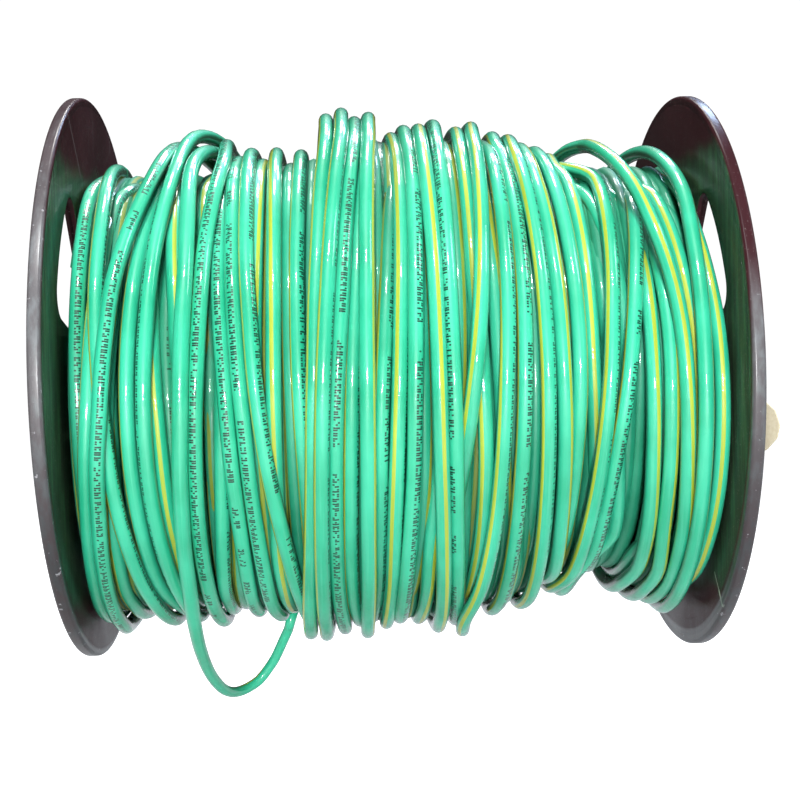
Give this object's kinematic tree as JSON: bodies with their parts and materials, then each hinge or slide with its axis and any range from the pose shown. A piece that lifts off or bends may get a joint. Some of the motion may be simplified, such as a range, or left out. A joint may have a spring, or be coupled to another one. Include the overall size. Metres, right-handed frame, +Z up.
{
  "type": "wire spool",
  "caption": "Black plastic reel, two windowed flanges on a barrel, wound full of green building wire with a yellow stripe; one turn sags below as a slack loop.",
  "frame": {"origin": "on the spool axis, midway between the two flanges' inner faces", "axes": "+X along the spool axis towards the flange with the label, +Z up, the front of the spool faces -Y"},
  "size_m": [0.2184, 0.165, 0.1837],
  "materials": {
    "reel_plastic": "moulded polystyrene, satin gloss, scuffed rim",
    "core_plastic": "satin",
    "wire_jacket": "clear nylon over green PVC with a yellow stripe, high gloss",
    "wire_insulation": "satin PVC",
    "copper": "bright bare copper",
    "label_paper": "matt, blank"
  },
  "bodies": {
    "spool": {"left_flange": "reel_plastic", "right_flange": "reel_plastic", "core_barrel": "core_plastic", "winding_layer_01": "wire_jacket", "winding_layer_02": "wire_jacket", "winding_layer_03": "wire_jacket", "winding_layer_04": "wire_jacket", "winding_layer_05": "wire_jacket", "winding_layer_06": "wire_jacket", "winding_layer_07": "wire_jacket", "winding_layer_08": "wire_jacket", "winding_layer_09": "wire_jacket", "outer_winding": "wire_jacket", "loose_turn_left": "wire_jacket", "loose_turn_middle": "wire_jacket", "loose_turn_centre": "wire_jacket", "loose_turn_right": "wire_jacket", "slack_turn": "wire_jacket", "tail_lead": "wire_jacket", "start_end_jacket": "wire_jacket", "start_end_conductor": "copper", "reel_label": "label_paper"},
    "slack_loop": {"slack_loop": "wire_jacket"},
    "wire_tail": {"tail_jacket": "wire_jacket", "tail_insulation": "wire_insulation", "tail_strand_01": "copper", "tail_strand_02": "copper", "tail_strand_03": "copper", "tail_strand_04": "copper", "tail_strand_05": "copper", "tail_strand_06": "copper", "tail_strand_07": "copper", "tail_strand_08": "copper", "tail_strand_09": "copper", "tail_strand_10": "copper", "tail_strand_11": "copper", "tail_strand_12": "copper", "tail_strand_13": "copper", "tail_strand_14": "copper", "tail_strand_15": "copper", "tail_strand_16": "copper", "tail_strand_17": "copper", "tail_strand_18": "copper", "tail_strand_19": "copper"},
    "label_flap": {"label_flap": "label_paper"}
  },
  "joints": [
    {"name": "slack_loop_swing", "type": "hinge", "parent": "spool", "child": "slack_loop", "pos_m": [-0.05625, -0.053, -0.05723], "axis": [0.3834, 0.8543, -0.3511], "range_deg": [-35, 10]},
    {"name": "tail_bend", "type": "hinge", "parent": "spool", "child": "wire_tail", "pos_m": [-0.0928, 0.07048, -0.02565], "axis": [0, 0, 1], "range_deg": [-45, 50]},
    {"name": "label_peel", "type": "hinge", "parent": "spool", "child": "label_flap", "pos_m": [0.08965, -0.06025, -0.0173], "axis": [0, 0, 1], "range_deg": [-18, 60]}
  ]
}
